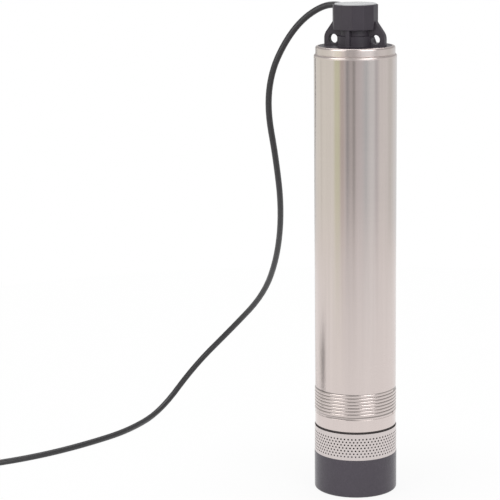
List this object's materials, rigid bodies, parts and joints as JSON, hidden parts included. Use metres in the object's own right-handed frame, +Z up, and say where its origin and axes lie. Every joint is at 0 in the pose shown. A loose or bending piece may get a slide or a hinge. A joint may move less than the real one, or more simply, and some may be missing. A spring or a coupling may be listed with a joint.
{
  "type": "submersible pump",
  "caption": "Slim upright submersible pump with a steel shell, perforated bottom intake, black foot and discharge head with rope eyes, check valve and coiled mains cable.",
  "frame": {"origin": "centre of the foot's underside", "axes": "+Z up along the pump's axis, X through the two rope eyes, -Y towards the front rib"},
  "size_m": [0.7156, 0.459, 0.5912],
  "materials": {
    "steel": "brushed stainless steel",
    "black_plastic": "fine-grained black moulding",
    "grey_plastic": "moulded",
    "plug_plastic": "moulded light grey",
    "impeller_plastic": "moulded",
    "rubber": "smooth black rubber",
    "fabric_tie": "woven strap",
    "brass": "turned",
    "cast_metal": "as cast",
    "laminations": "stacked sheet",
    "copper": "varnished copper wire",
    "ceramic": "ground ceramic"
  },
  "bodies": {
    "pump": {"foot": "black_plastic", "foot_screws": "steel", "strainer_band": "steel", "intake_cage": "black_plastic", "seal_ring": "rubber", "clamp_ring": "steel", "suction_plate": "grey_plastic", "shell": "steel", "end_cap": "steel", "discharge_head": "black_plastic", "left_rope_ear": "black_plastic", "right_rope_ear": "black_plastic", "head_seal": "rubber", "valve_seat": "brass", "gland_body": "black_plastic", "gland_nut": "black_plastic", "strain_relief": "rubber", "power_cable": "rubber", "inner_lead": "rubber", "cable_coil": "rubber", "cable_tail": "rubber", "coil_ties": "fabric_tie", "mains_plug": "rubber", "mains_pins": "brass", "motor_can": "steel", "motor_top_cap": "cast_metal", "motor_lower_cap": "cast_metal", "upper_bracket": "cast_metal", "upper_bearing": "steel", "lower_bearing": "steel", "capacitor": "grey_plastic", "stator_core": "laminations", "windings": "copper", "seal_carrier": "cast_metal", "seal_seat": "ceramic", "stage_casing_1": "grey_plastic", "diffuser_1": "grey_plastic", "stage_casing_2": "grey_plastic", "diffuser_2": "grey_plastic", "stage_casing_3": "grey_plastic", "diffuser_3": "grey_plastic", "stage_casing_4": "grey_plastic", "diffuser_4": "grey_plastic"},
    "rotor": {"shaft": "steel", "rotor_core": "laminations", "shaft_nut": "brass", "seal_rotor": "rubber", "impeller_1": "impeller_plastic", "impeller_2": "impeller_plastic", "impeller_3": "impeller_plastic", "impeller_4": "impeller_plastic"},
    "valve": {"valve_poppet": "brass", "valve_washer": "rubber"},
    "plug": {"outlet_plug": "plug_plastic"}
  },
  "joints": [
    {"name": "rotor_spin", "type": "hinge", "parent": "pump", "child": "rotor", "pos_m": [0, 0, 0.3], "axis": [0, 0, 1], "continuous": true},
    {"name": "valve_slide", "type": "slide", "parent": "pump", "child": "valve", "axis": [0, 0, 1], "range_m": [0, 0.006]},
    {"name": "plug_lift", "type": "slide", "parent": "pump", "child": "plug", "axis": [0, 0, 1], "range_m": [0, 0.08]}
  ]
}
